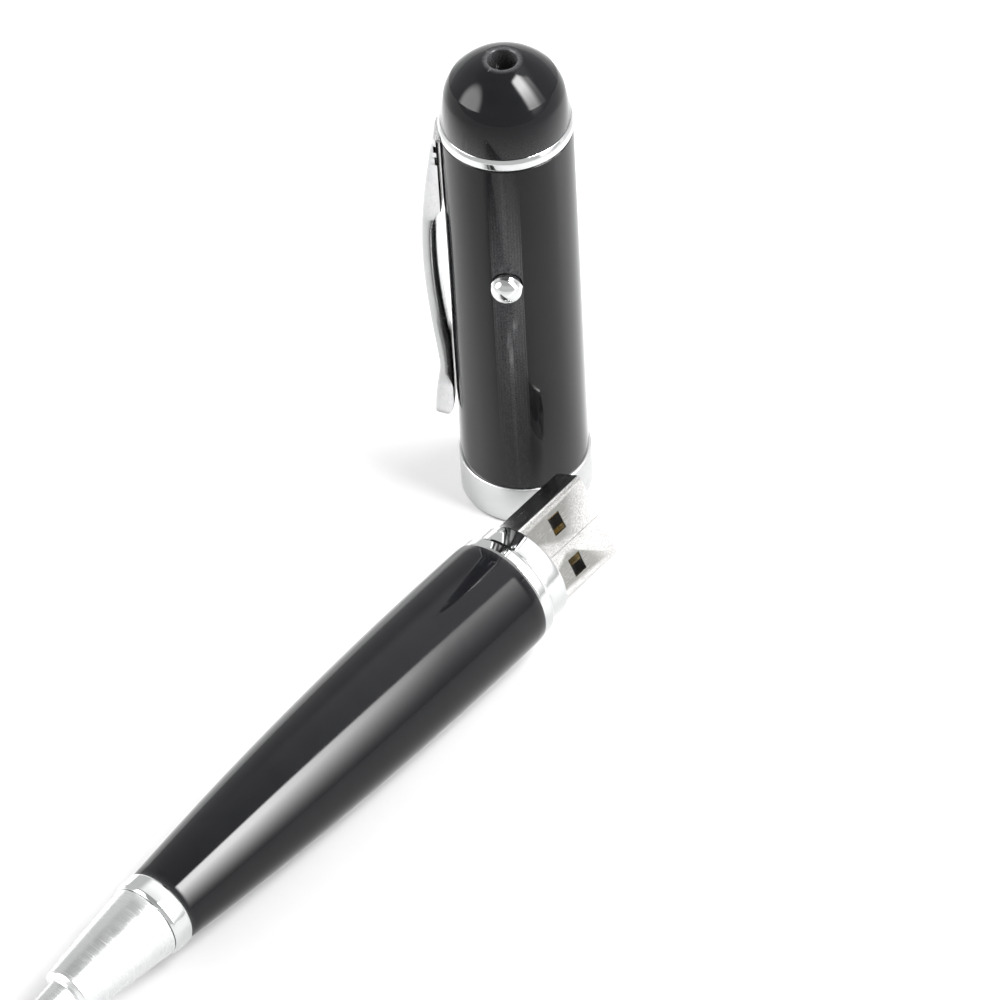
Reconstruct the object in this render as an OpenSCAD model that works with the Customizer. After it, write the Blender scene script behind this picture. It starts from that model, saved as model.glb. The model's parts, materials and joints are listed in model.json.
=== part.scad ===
// Banknote checking pen: a ballpoint pen whose cap holds an ultraviolet lamp
// and whose barrel ends in a USB plug. It is drawn pulled apart, as it is laid
// out for use: the cap stands on its mouth and the barrel lies beside it.
// The origin is the centre of the cap's mouth, on the table. +Z runs up the cap
// and the barrel's plug points along +Y. Lengths are in millimetres.

/* [Cap] */
// Outer diameter of the cap tube
cap_d = 16.2; // [16:0.1:17.5]
// Height of the trim ring's lower edge above the table
cap_tube_top = 60.2; // [60:0.1:66]
// Diameter of the satin collar at the mouth
collar_d = 16.7; // [16.6:0.1:18]
// Height of the collar
collar_h = 6; // [4:0.5:8]
// Bore that grips the barrel's neck
mouth_bore = 13.4; // [13.35:0.05:13.5]
// Depth of the bore that covers the USB plug
mouth_depth = 19; // [18:0.5:19.5]
// Height of the trim ring
trim_h = 1.8; // [1.2:0.1:2.4]
// Height of the crown above the trim ring
crown_h = 9.1; // [8.8:0.1:11]
// Diameter of the light aperture in the crown
aperture_d = 3.6; // [2.5:0.1:4.5]

/* [Clip and button] */
// Direction of the clip round the cap, from +X
clip_turn = 215; // [180:5:260]
// Width of the clip
clip_w = 4.6; // [3.5:0.1:5]
// Direction of the button round the cap, from +X
button_turn = 305; // [290:5:330]
// Height of the button's centre
button_z = 41.7; // [40:0.1:44]
// Diameter of the button's dome
button_d = 3.9; // [3.2:0.1:4.2]

/* [Barrel] */
// Length of the lacquered barrel
barrel_len = 62.3; // [62:0.1:64]
// Largest diameter of the barrel
barrel_d = 15.2; // [15:0.1:15.6]
// Distance of the largest diameter from the barrel's back end
belly_at = 8; // [4:1:12]
// Radius of the barrel's long bow
bow_r = 568; // [560:2:620]
// Diameter of the neck that the cap slides on
neck_d = 13.3; // [13.2:0.05:13.3]
// Nose-down tilt of the barrel as it lies
barrel_tilt = 1; // [0:0.1:1.1]
// Sideways distance from the cap's axis to the barrel's axis
barrel_x = 15.3; // [14.5:0.1:30]
// Place of the barrel's back end along Y
barrel_y = -23.3; // [-60:0.1:-22]

/* [USB plug] */
// Length of plug that stands out of the neck
plug_out = 11.8; // [11.7:0.1:12]
// Turn of the plug about the barrel's axis
plug_turn = 62; // [0:1:90]

/* [Writing end] */
// Length of the nose ring
nose_ring_len = 2.9; // [2:0.1:3.5]
// Length of the nose cone's long taper
cone_len = 14; // [13:0.5:15]
// Length of the narrow tip after the taper
tip_len = 6; // [5.5:0.1:6.5]
// Distance that the refill feeds out in half a turn
feed = 5.5; // [4:0.5:5.5]
// Diameter of the refill's tube
refill_d = 2.35; // [2.3:0.05:2.4]

/* [Hidden] */
$fn = 96;
small_fn = 48; // sides of a small round
tiny_fn = 24; // sides of a very small round
fit_gap = 0.05;
slide_gap = 0.08;
past = 1; // how far a cut runs past the face that it opens

// cap, heights above the table
cap_r = cap_d / 2;
cap_wall = 0.65;
cap_in_r = cap_r - cap_wall;
mouth_r = mouth_bore / 2;
insert_h = 8;
insert_r = 6.3;
collar_round = 0.3;
trim_r = cap_r + 0.1;
trim_round = 0.35;
trim_top = cap_tube_top + trim_h;
crown_top = trim_top + crown_h;
crown_base_r = cap_r - 0.15;
crown_shoulder_r = 7.3;
crown_shoulder_z = trim_top + 0.45 * crown_h;
crown_edge_r = 6.5;
crown_edge_z = trim_top + 0.65 * crown_h;
crown_flat_r = 2.35;
crown_chamfer = 0.2;
shoulder_bulge = 0.06;
dome_bulge = 0.3;
crown_bore_r = 5.2;
lens_t = 1;
crown_bore_top = trim_top + 5.3;
spigot_h = 6.5;
divider_z = mouth_depth;
divider_h = 2;
divider_floor = 0.8;
spring_seat_r = 3.4;
spring_big_r = 3;
spring_small_r = 1.6;
spring_turns = 3;
cell_d = 7.9;
cell_h = 3.6;
cell_count = 3;
cell_z = divider_z + divider_h + 0.3;
cell_rim = 0.46;
cells_top = cell_z + cell_count * cell_h;
tab_w = 3;
tab_t = 0.3;
tab_l = 5;
inner_r = cap_in_r - fit_gap;
board_z = cells_top + 1.9;
board_top = cap_tube_top - 5.2;
board_x = 1.6;
board_t = 1;
board_w = 9;
switch_w = 4.5;
switch_x = board_x + board_t;
switch_h = 2.8;
resistor = [0.6, 2, 1.25];
carrier_in_r = 5.9;
plunger_r = 1.1;
button_r = button_d / 2;
stem_r = button_r - 0.2;
button_hole_r = stem_r + 0.1;
flange_r = 2.6;
flange_x = 6.3;
flange_t = 0.6;
button_rim_x = cap_r + 0.55;
button_rim_t = 0.35;
button_top_x = button_rim_x + button_rim_t;
dome_r = button_r + 0.05;
plunger_x = flange_x - 1.75;
plunger_play = 0.65;
led_r = 2.5;
led_z = trim_top - 2.2;
led_h = 6.4;
led_rim_r = 2.9;
led_rim_h = 1;
lead_x = 1.27;
lead_r = 0.25;
lead_hole_r = 0.4;
lead_in = 0.3;
holder_rise = 3;

// clip, as stand-off from the tube against height
clip_t = 1.8;
clip_foot_z = cap_tube_top - 1.25;
clip_foot_h = 0.95;
clip_plate_h = 0.6;
clip_tip_z = 11.6;
clip_touch_z = 21;
clip_touch_off = 1.74;
clip_bow = 1.63;
clip_bow_skew = 1.12;
clip_drop = 0.84;
clip_flare = 1;
clip_heel_z = 24;
clip_heel_blend = 3;
clip_toe_z = 15.4;
clip_toe_t = 1.1;
clip_root_z = 46.9;
clip_root_blend = 1;
clip_gap = 0.15;
clip_top_z = clip_foot_z + clip_foot_h - 0.1;
clip_foot_w = clip_w - 0.6;
clip_slot_w = clip_w - 0.3;

// barrel, along its own axis: +Z towards the plug, 0 at the barrel's back end
barrel_r = barrel_d / 2;
barrel_wall = 0.9;
bay_r = 6.4;
bay_len = 26;
front_bore_r = 4.25;
front_bore_len = 8;
ring_len = 2.2;
ring_r = 7.4;
ring_round = 0.5;
neck_r = neck_d / 2;
neck_len = 3;
neck_chamfer = 0.4;
neck_top = ring_len + neck_len;
neck_spigot = 4;
plug_top = neck_top + plug_out;
plug_w = 12;
plug_t = 4.5;
shell_len = 18.7;
shell_wall = 0.3;
shell_base = plug_top - shell_len;
plug_round = 0.55;
plug_hole_w = 2.5;
plug_hole_l = 2;
plug_hole_from_end = 5.16;
plug_hole_x = 3.1;
plug_in_w = plug_w - 2 * shell_wall;
plug_in_t = plug_t - 2 * shell_wall;
tongue_t = 1.85;
tongue_w = plug_in_w - 0.8;
tongue_base_h = 5;
tongue_short = 0.6;
contact_w = 1;
contact_t = 0.2;
contact_short = 6.6;
pcb_w = 11.4;
pcb_len = 11.7;
pcb_t = 1;
pcb_z = shell_base - pcb_len;
carrier_len = 14.2;
carrier_floor = 0.6;
carrier_slot = 3.4;
bulkhead_len = 5.8;
bulkhead_floor = 1.8;
guide_in_r = 3;
guide_out_r = 3.7;
cam_in_r = 2.1;
cam_out_r = guide_in_r - slide_gap;
refill_r = refill_d / 2;
pin_r = 0.45;
pin_at = 20.5;
follower_front = 3;
follower_cap = 0.8;
slot_r = pin_r + 0.1;
half_turn = 180;
slot_steps = 12;
nose_at = barrel_len + nose_ring_len;
cone_end = nose_at + cone_len;
tip_end = cone_end + tip_len;
cone_base_r = 4.85;
nose_ring_r = cone_base_r + 0.3;
nose_ring_round = 0.4;
nose_spigot_len = 6.5;
bush_len = 8;
bush_r = 3.9;
bush_back = 0.3;
cone_bore_r = 1.7;
cone_end_r = 3.3;
tip_r = 1.7;
refill_wall = 0.2;
refill_len = 67;
refill_in = 1; // how far the resting tip sits inside the cone
refill_back = tip_end - refill_in - refill_len;
refill_tip_len = 6.2;
refill_front = refill_in - tip_end;
ball_r = 0.35;
belly_lift = barrel_r * cos(barrel_tilt) + belly_at * sin(barrel_tilt);
lift_extra = bow_r * (1 - cos(barrel_tilt));
barrel_z = belly_lift + lift_extra;

lacquer = [0.05, 0.05, 0.055];
chrome = [0.85, 0.86, 0.88];
satin = [0.72, 0.73, 0.74];
brass = [0.78, 0.62, 0.3];
dark_plastic = [0.16, 0.16, 0.17];
pale_plastic = [0.8, 0.8, 0.76];
board_green = [0.1, 0.35, 0.2];
chip_black = [0.1, 0.1, 0.1];
switch_grey = [0.2, 0.2, 0.22];
lens_clear = [0.8, 0.85, 0.9, 0.5];
lamp_clear = [0.75, 0.75, 0.95, 0.8];
ceramic_tan = [0.6, 0.5, 0.4];

// ---------- shared shapes ----------

// A tube about the Z axis from height z0 to z1.
module sleeve(r_out, r_in, z0, z1) {
    difference() {
        translate([0, 0, z0]) cylinder(r = r_out, h = z1 - z0);
        translate([0, 0, z0 - past]) cylinder(r = r_in, h = z1 - z0 + 2 * past);
    }
}

// A ring with rounded outer edges.
module bead_ring(r_out, r_in, z0, z1, round_r) {
    rotate_extrude() difference() {
        union() {
            translate([r_in, z0 + round_r]) square([r_out - r_in, z1 - z0 - 2 * round_r]);
            translate([r_in, z0]) square([r_out - r_in - round_r, z1 - z0]);
            for (z = [z0 + round_r, z1 - round_r])
                translate([r_out - round_r, z]) circle(r = round_r, $fn = small_fn);
        }
        translate([-past, z0 - past]) square([past + r_in, z1 - z0 + 2 * past]);
    }
}

// A box centred in X and Y, standing on height z0.
module block(size, z0) {
    translate([-size[0] / 2, -size[1] / 2, z0]) cube(size);
}

// The outline of the USB shell, grown by g.
module plug_outline(g) {
    r = plug_round + g;
    w = plug_w / 2 + g - r;
    t = plug_t / 2 + g - r;
    union() {
        square([2 * w + 2 * r, 2 * t], center = true);
        square([2 * w, 2 * t + 2 * r], center = true);
        for (x = [-w, w], y = [-t, t]) translate([x, y]) circle(r = r, $fn = small_fn);
    }
}

// Moves a piece from the barrel's own axis to where the barrel lies.
module place_barrel() {
    translate([barrel_x, barrel_y, barrel_z]) rotate([barrel_tilt - 90, 0, 0]) children();
}

// Turns a piece about the barrel's axis to the plug's angle.
module place_plug() {
    place_barrel() rotate([0, 0, plug_turn]) children();
}

// Turns a piece on the cap so that its +X faces the button's direction.
module face_button() {
    rotate([0, 0, button_turn]) children();
}

// Radius of the barrel's long bow at a distance z along its axis.
function bow_x(z) = barrel_r - bow_r + sqrt(bow_r * bow_r - (z + belly_at) * (z + belly_at));

// Points of the bow, drawn in by g, from z0 down to z1.
function bow_points(g, z0, z1, steps) = [
    for (i = [0 : steps]) let (z = z0 + i * (z1 - z0) / steps) [bow_x(z) - g, z]
];

// ---------- cap ----------

// The slot that the clip's foot passes through.
module clip_slot() {
    rotate([0, 0, clip_turn])
        translate([insert_r, -clip_slot_w / 2, clip_foot_z - clip_gap])
        cube([cap_r + past - insert_r, clip_slot_w, clip_foot_h + 2 * clip_gap]);
}

module cap_tube() {
    color(lacquer) difference() {
        sleeve(cap_r, cap_in_r, collar_h, cap_tube_top);
        face_button() translate([cap_in_r - past, 0, button_z])
            rotate([0, 90, 0]) cylinder(r = button_hole_r, h = cap_wall + 2 * past, $fn = small_fn);
        clip_slot();
    }
}

module cap_collar() {
    color(satin) bead_ring(collar_d / 2, cap_in_r, 0, collar_h, collar_round);
}

module cap_liner() {
    color(dark_plastic) sleeve(cap_in_r, mouth_r, 0, mouth_depth);
}

module cap_divider() {
    color(dark_plastic) difference() {
        translate([0, 0, divider_z]) cylinder(r = inner_r, h = divider_h);
        translate([0, 0, divider_z + divider_floor]) cylinder(r = spring_seat_r, h = divider_h);
    }
}

module thread_insert() {
    color(brass) difference() {
        sleeve(cap_in_r, insert_r, cap_tube_top - insert_h, cap_tube_top);
        clip_slot();
    }
}

module trim_ring() {
    color(chrome) bead_ring(trim_r, insert_r, cap_tube_top, trim_top, trim_round);
}

// Points of a shallow arc from a to b that stands proud of its chord by bulge,
// on the side away from the axis. It leaves out a itself.
function arc_points(a, b, bulge, steps) = let (d = b - a, n = [d[1], -d[0]] / norm(d)) [
    for (i = [1 : steps]) let (u = i / steps) a + u * d + 4 * u * (1 - u) * bulge * n
];

// Half outline of the crown's skin: a slightly tapered side, a soft shoulder,
// a shallow dome and the flat round the aperture.
function crown_outline() = let (
    shoulder = [crown_shoulder_r, crown_shoulder_z],
    edge = [crown_edge_r, crown_edge_z]
) concat(
    [[0, trim_top], [crown_base_r - crown_chamfer, trim_top]],
    [[crown_base_r, trim_top + crown_chamfer], shoulder],
    arc_points(shoulder, edge, shoulder_bulge, 4),
    arc_points(edge, [crown_flat_r, crown_top], dome_bulge, 8),
    [[0, crown_top]]
);

module crown() {
    color(lacquer) difference() {
        union() {
            rotate_extrude() polygon(crown_outline());
            translate([0, 0, trim_top - spigot_h])
                cylinder(r = insert_r - fit_gap, h = spigot_h + past);
        }
        translate([0, 0, trim_top - spigot_h - past])
            cylinder(r = crown_bore_r, h = crown_bore_top - trim_top + spigot_h + past);
        translate([0, 0, crown_bore_top - past])
            cylinder(d = aperture_d, h = crown_top - crown_bore_top + 2 * past);
    }
}

module lens() {
    color(lens_clear) translate([0, 0, crown_bore_top - lens_t])
        cylinder(r = crown_bore_r, h = lens_t);
}

// Stand-off of the clip's outer face. From its foot the strip bows away from
// the tube, comes back to touch it and flares again to its tip.
function clip_bow_off(u) = clip_touch_off - clip_drop * u
    + clip_bow * sin(180 * pow(u, clip_bow_skew));
function clip_flare_off(u) = clip_touch_off + clip_flare * sin(90 * u);
function clip_out(z) = z > clip_touch_z
    ? clip_bow_off((z - clip_touch_z) / (clip_foot_z - clip_touch_z))
    : clip_flare_off((clip_touch_z - z) / (clip_touch_z - clip_tip_z));

// Stand-off of its inner face: the strip's own thickness, a solid root below
// the foot, and a thick heel that bears on the tube and rounds off at the toe.
function ease(u) = let (v = min(1, max(0, u))) v * v * (3 - 2 * v);
function clip_solid(z) = max(
    ease((z - clip_root_z) / clip_root_blend),
    ease((clip_heel_z + clip_heel_blend - z) / clip_heel_blend)
);
function clip_toe(z) = let (v = max(0, (clip_toe_z - z) / (clip_toe_z - clip_tip_z)))
    (clip_out(clip_tip_z) - clip_toe_t - clip_gap) * (1 - sqrt(1 - v * v));
function clip_in(z) = let (free = max(clip_gap, clip_out(z) - clip_t))
    free + (clip_gap - free) * clip_solid(z) + clip_toe(z);

module clip() {
    steps = 40;
    rise = (clip_foot_z - 0.3 - clip_tip_z) / steps;
    heights = [for (i = [0 : steps]) clip_tip_z + rise * i];
    outer = [for (z = heights) [clip_out(z), z]];
    crest = [[0.75, clip_foot_z + 0.5], [0.5, clip_top_z], [clip_gap, clip_top_z]];
    inner = [for (i = [steps : -1 : 0]) [clip_in(heights[i]), heights[i]]];
    color(chrome) rotate([0, 0, clip_turn]) union() {
        intersection() {
            translate([cap_r, clip_w / 2, 0]) rotate([90, 0, 0])
                linear_extrude(height = clip_w) polygon(concat(outer, crest, inner));
            translate([cap_r - past, 0, 0]) rotate([90, 0, 90]) clip_front();
        }
        clip_foot();
    }
}

// The clip's front view: a strip with a round tip.
module clip_front() {
    linear_extrude(height = cap_r) union() {
        translate([-clip_w / 2, clip_tip_z + clip_w / 2]) square([clip_w, clip_top_z]);
        translate([0, clip_tip_z + clip_w / 2]) circle(d = clip_w);
    }
}

// The clip's foot: a plate that ends under the trim ring, with a round bead
// that rocks in the tube's slot.
module clip_foot() {
    foot_mid = clip_foot_z + clip_foot_h / 2;
    translate([insert_r + 0.5, -clip_foot_w / 2, foot_mid - clip_plate_h / 2])
        cube([cap_r - insert_r, clip_foot_w, clip_plate_h]);
    translate([cap_r, clip_foot_w / 2, foot_mid]) rotate([90, 0, 0])
        cylinder(r = clip_foot_h / 2, h = clip_foot_w, $fn = small_fn);
}

module button() {
    color(chrome) face_button() translate([0, 0, button_z]) rotate([0, 90, 0]) union() {
        translate([0, 0, flange_x]) cylinder(r = flange_r, h = flange_t, $fn = small_fn);
        translate([0, 0, flange_x])
            cylinder(r = stem_r, h = button_rim_x + button_rim_t / 2 - flange_x, $fn = small_fn);
        translate([0, 0, button_rim_x]) cylinder(r = button_r, h = button_rim_t, $fn = small_fn);
        intersection() {
            translate([0, 0, button_top_x - 0.45]) sphere(r = dome_r, $fn = 64);
            translate([0, 0, button_top_x]) cylinder(r = button_r, h = dome_r, $fn = small_fn);
        }
    }
}

module switch_plunger() {
    color(dark_plastic) face_button() translate([plunger_x, 0, button_z])
        rotate([0, 90, 0]) cylinder(r = plunger_r, h = flange_x - plunger_x, $fn = small_fn);
}

module tact_switch() {
    color(switch_grey) face_button() difference() {
        translate([switch_x, -switch_w / 2, button_z - switch_w / 2])
            cube([switch_h, switch_w, switch_w]);
        translate([plunger_x - plunger_play, 0, button_z]) rotate([0, 90, 0])
            cylinder(r = plunger_r + 0.1, h = switch_h, $fn = small_fn);
    }
}

module light_board() {
    color(board_green) face_button()
        translate([board_x, -board_w / 2, board_z]) cube([board_t, board_w, board_top - board_z]);
}

module board_resistor() {
    color(chip_black) face_button()
        translate([switch_x, -resistor[1] / 2, button_z + 5]) cube(resistor);
}

module module_carrier() {
    color(dark_plastic) face_button() intersection() {
        sleeve(inner_r, carrier_in_r, board_z, cap_tube_top - insert_h);
        translate([-2 * cap_r + board_x, -cap_r, board_z]) cube([2 * cap_r, cap_d, board_top]);
    }
}

module led_holder() {
    color(dark_plastic) difference() {
        translate([0, 0, board_top])
            cylinder(r = crown_bore_r - 0.2, h = led_z + holder_rise - board_top);
        translate([0, 0, led_z]) cylinder(r = led_rim_r + fit_gap, h = led_h);
        for (x = [-lead_x, lead_x])
            translate([x, 0, board_top - past]) cylinder(r = lead_hole_r, h = led_h, $fn = tiny_fn);
    }
}

module uv_led() {
    dome_z = led_z + led_h - led_r;
    color(lamp_clear) union() {
        translate([0, 0, led_z]) cylinder(r = led_rim_r, h = led_rim_h);
        translate([0, 0, led_z]) cylinder(r = led_r, h = led_h - led_r);
        intersection() {
            translate([0, 0, dome_z]) sphere(r = led_r);
            translate([0, 0, dome_z]) cylinder(r = led_r + past, h = led_r + past);
        }
    }
}

module led_leads() {
    color(satin) for (x = [-lead_x, lead_x])
        translate([x, 0, board_top - lead_in])
            cylinder(r = lead_r, h = led_z + lead_in - board_top, $fn = tiny_fn);
}

module cell_tab() {
    color(brass) face_button() union() {
        translate([-tab_w / 2, -tab_w / 2, cells_top]) cube([tab_l, tab_w, tab_t]);
        translate([tab_l - tab_w / 2 - tab_t, -tab_w / 2, cells_top]) cube([tab_t, tab_w, tab_l]);
    }
}

module cell_sleeve() {
    color(pale_plastic) sleeve(inner_r, cell_d / 2 + 0.1, divider_z + divider_h, cells_top);
}

module button_cells() {
    color(satin) for (i = [0 : cell_count - 1]) translate([0, 0, cell_z + i * cell_h]) union() {
        translate([0, 0, 0.04]) cylinder(d = cell_d, h = cell_h - cell_rim - 0.04);
        cylinder(d = cell_d - 1.6, h = cell_h - 0.02);
    }
}

// One ring of a coil's wire: corners about the helix point at angle a.
coil_sides = 8;
coil_wire_r = 0.2;
function coil_ring(a, r, z) = [
    for (k = [0 : coil_sides - 1]) let (b = 360 * k / coil_sides)
        [(r + coil_wire_r * cos(b)) * cos(a), (r + coil_wire_r * cos(b)) * sin(a),
         z + coil_wire_r * sin(b)]
];

// A conical coil from radius r0 at height z0 to r1 at z1.
module coil(r0, z0, r1, z1, turns) {
    steps = turns * 16;
    points = [
        for (i = [0 : steps]) let (u = i / steps)
            each coil_ring(360 * turns * u, r0 + (r1 - r0) * u, z0 + (z1 - z0) * u)
    ];
    sides = [
        for (i = [0 : steps - 1], k = [0 : coil_sides - 1]) let (
            n = (k + 1) % coil_sides, a = i * coil_sides, b = (i + 1) * coil_sides
        ) [a + k, b + k, b + n, a + n]
    ];
    first = [for (k = [0 : coil_sides - 1]) k];
    last = [for (k = [coil_sides - 1 : -1 : 0]) steps * coil_sides + k];
    polyhedron(points, concat(sides, [first], [last]));
}

module contact_spring() {
    color(satin)
        coil(spring_big_r, divider_z + divider_floor + coil_wire_r + 0.02,
            spring_small_r, cell_z - coil_wire_r - fit_gap, spring_turns);
}

// ---------- barrel ----------

module barrel_tube() {
    waist_end = -barrel_len + front_bore_len;
    skin = bow_points(0, 0, -barrel_len, 16);
    waist = bow_points(barrel_wall, -bay_len, waist_end, 6);
    front_bore = [[front_bore_r, waist_end], [front_bore_r, -barrel_len]];
    inside = concat([[bay_r, 0], [bay_r, -bay_len]], waist, front_bore);
    inside_back = [for (i = [len(inside) - 1 : -1 : 0]) inside[i]];
    color(lacquer) place_barrel() rotate_extrude() polygon(concat(skin, inside_back));
}

module step_ring() {
    color(chrome) place_barrel() bead_ring(ring_r, bay_r, 0, ring_len, ring_round);
}

module neck() {
    color(chrome) place_plug() difference() {
        union() {
            translate([0, 0, -neck_spigot]) cylinder(r = bay_r - fit_gap, h = neck_spigot + ring_len);
            translate([0, 0, ring_len]) cylinder(r = neck_r, h = neck_len - neck_chamfer);
            translate([0, 0, neck_top - neck_chamfer])
                cylinder(r1 = neck_r, r2 = neck_r - neck_chamfer / 2, h = neck_chamfer);
        }
        translate([0, 0, -neck_spigot - past])
            linear_extrude(height = neck_top + neck_spigot + 2 * past) plug_outline(fit_gap);
    }
}

module usb_shell() {
    color(chrome) place_plug() difference() {
        translate([0, 0, shell_base]) linear_extrude(height = shell_len) plug_outline(0);
        translate([0, 0, shell_base - past]) linear_extrude(height = shell_len + 2 * past)
            plug_outline(-shell_wall);
        for (x = [-plug_hole_x, plug_hole_x])
            translate([x, 0, 0]) block(
                [plug_hole_w, plug_t + past, plug_hole_l], plug_top - plug_hole_from_end - plug_hole_l
            );
    }
}

module usb_tongue() {
    color(dark_plastic) place_plug() union() {
        translate([0, (plug_in_t - tongue_t) / 2 - fit_gap, 0])
            block([tongue_w, tongue_t, shell_len - tongue_short], shell_base);
        block([tongue_w, plug_in_t - 2 * fit_gap, tongue_base_h], shell_base);
    }
}

module usb_contacts() {
    face_y = plug_in_t / 2 - tongue_t - fit_gap;
    color(brass) place_plug() for (x = [-3.5, -1, 1, 3.5])
        translate([x, face_y - contact_t / 2, 0]) block(
            [contact_w, contact_t, shell_len - contact_short], shell_base + tongue_base_h
        );
}

module usb_board() {
    color(board_green) place_plug() block([pcb_w, pcb_t, pcb_len], pcb_z);
}

// A box on the board: side is 1 or -1 for its upper or lower face, x across
// and z along it from its inner end.
module on_board(size, side, x, z) {
    place_plug() translate([x, side * (pcb_t + size[1]) / 2, 0]) block(size, pcb_z + z);
}

module memory_chip() {
    color(chip_black) on_board([9, 1, 8], -1, 0, 1);
}

module controller_chip() {
    color(chip_black) on_board([5, 0.8, 5], 1, -1.5, 3);
}

module crystal() {
    color(satin) on_board([2.5, 0.7, 3.2], 1, 3.4, 4);
}

module board_capacitors() {
    color(ceramic_tan) for (x = [-3, -1.2, 0.6, 2.4]) on_board([0.5, 0.5, 1], 1, x, 9.6);
}

module board_carrier() {
    color(pale_plastic) place_plug() difference() {
        translate([0, 0, -carrier_len]) cylinder(r = bay_r - fit_gap, h = carrier_len - neck_spigot);
        block([2 * bay_r, carrier_slot, carrier_len], -carrier_len + carrier_floor);
    }
}

module bulkhead() {
    color(dark_plastic) place_barrel() difference() {
        translate([0, 0, -carrier_len - bulkhead_len])
            cylinder(r = bay_r - fit_gap, h = bulkhead_len);
        translate([0, 0, -carrier_len - bulkhead_len - past])
            cylinder(r = guide_out_r + slide_gap, h = bulkhead_len - bulkhead_floor + past);
    }
}

// ---------- writing end, measured back from the barrel's back end ----------

module nose_ring() {
    color(chrome) place_barrel() difference() {
        union() {
            bead_ring(nose_ring_r, guide_out_r, -nose_at + fit_gap, -barrel_len, nose_ring_round);
            translate([0, 0, -barrel_len - nose_ring_round])
                cylinder(r = front_bore_r - fit_gap, h = nose_spigot_len + nose_ring_round);
        }
        translate([0, 0, -nose_at - past])
            cylinder(r = guide_out_r, h = nose_ring_len + nose_spigot_len + 2 * past);
    }
}

module guide_tube() {
    slot_spare = 0.1;
    slot_back = pin_at - slot_r - slot_spare;
    slot_len = feed + 2 * slot_r + 2 * slot_spare;
    color(brass) place_barrel() difference() {
        sleeve(guide_out_r, guide_in_r, -nose_at + bush_back, -refill_back + 1);
        translate([guide_in_r - past, -slot_r, -slot_back - slot_len])
            cube([guide_out_r - guide_in_r + 2 * past, 2 * slot_r, slot_len]);
    }
}

// Half outline of the nose cone: a long taper, a soft shoulder, a fine tip.
function cone_outline() = [
    [0, -nose_at],
    [cone_base_r - 0.2, -nose_at],
    [cone_base_r, -nose_at - 0.2],
    [cone_end_r + 0.05, -cone_end + 0.6],
    [cone_end_r - 0.1, -cone_end + 0.15],
    [cone_end_r - 0.45, -cone_end],
    [cone_end_r - 0.9, -cone_end - 0.1],
    [tip_r + 0.2, -tip_end + 0.5],
    [tip_r, -tip_end],
    [0, -tip_end]
];

module nose_cone() {
    color(satin) place_barrel() difference() {
        rotate_extrude() polygon(cone_outline());
        translate([0, 0, -nose_at - bush_len]) cylinder(r = bush_r, h = bush_len + past);
        translate([0, 0, -cone_end]) cylinder(r = cone_bore_r, h = cone_len);
        translate([0, 0, -tip_end - past]) cylinder(r = refill_r + 0.1, h = tip_len + 2 * past);
    }
}

module nose_bush() {
    color(brass) place_barrel()
        sleeve(bush_r, cam_out_r, -nose_at - bush_len, -nose_at - bush_back);
}

module cam_tube() {
    color(brass) place_barrel() difference() {
        sleeve(cam_out_r, cam_in_r, -nose_at - bush_len, -refill_back + 0.6);
        // the helical track that walks the pin forward as the tube turns
        for (i = [0 : slot_steps]) let (u = i / slot_steps)
            rotate([0, 0, half_turn * u]) translate([cam_in_r - past, 0, -pin_at - feed * u])
                rotate([0, 90, 0])
                cylinder(r = slot_r, h = cam_out_r - cam_in_r + 2 * past, $fn = tiny_fn);
    }
}

module cam_follower() {
    long = pin_at + follower_front - refill_back;
    color(pale_plastic) place_barrel() difference() {
        union() {
            translate([0, 0, -pin_at - follower_front])
                cylinder(r = cam_in_r - slide_gap, h = long + follower_cap);
            translate([0, 0, -pin_at]) rotate([0, 90, 0])
                cylinder(r = pin_r, h = guide_out_r - 0.2, $fn = 32);
        }
        translate([0, 0, -pin_at - follower_front - past]) cylinder(r = refill_r, h = long + past);
    }
}

module refill_tube() {
    color(satin) place_barrel()
        sleeve(refill_r, refill_r - refill_wall, refill_front + refill_tip_len, -refill_back);
}

module refill_tip() {
    long = refill_tip_len;
    color(brass) place_barrel() difference() {
        translate([0, 0, refill_front]) rotate_extrude() polygon([
            [0, 0.15], [0.3, 0.15], [0.42, 0.6], [0.6, 2.2], [0.75, 2.4], [1.05, 3.6],
            [refill_r, long - 1.6], [refill_r, long], [0, long]
        ]);
        ball();
    }
}

// The ball, seated in the mouth of the refill's tip.
module ball() {
    translate([0, 0, refill_front + 0.7 * ball_r]) sphere(r = ball_r, $fn = 32);
}

module writing_ball() {
    color(satin) place_barrel() ball();
}

cap_tube();
cap_collar();
cap_liner();
cap_divider();
thread_insert();
trim_ring();
crown();
lens();
clip();
button();
switch_plunger();
tact_switch();
light_board();
board_resistor();
module_carrier();
led_holder();
uv_led();
led_leads();
cell_tab();
cell_sleeve();
button_cells();
contact_spring();
barrel_tube();
step_ring();
neck();
usb_shell();
usb_tongue();
usb_contacts();
usb_board();
memory_chip();
controller_chip();
crystal();
board_capacitors();
board_carrier();
bulkhead();
nose_ring();
guide_tube();
nose_cone();
nose_bush();
cam_tube();
cam_follower();
refill_tube();
refill_tip();
writing_ball();
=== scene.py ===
"""Looks for the banknote checking pen: a cap with an ultraviolet lamp, standing on its
mouth, and a twist ballpoint barrel with a USB plug, lying beside it."""

import json
import math

import bpy
import bmesh
from mathutils import Matrix, Vector


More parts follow.
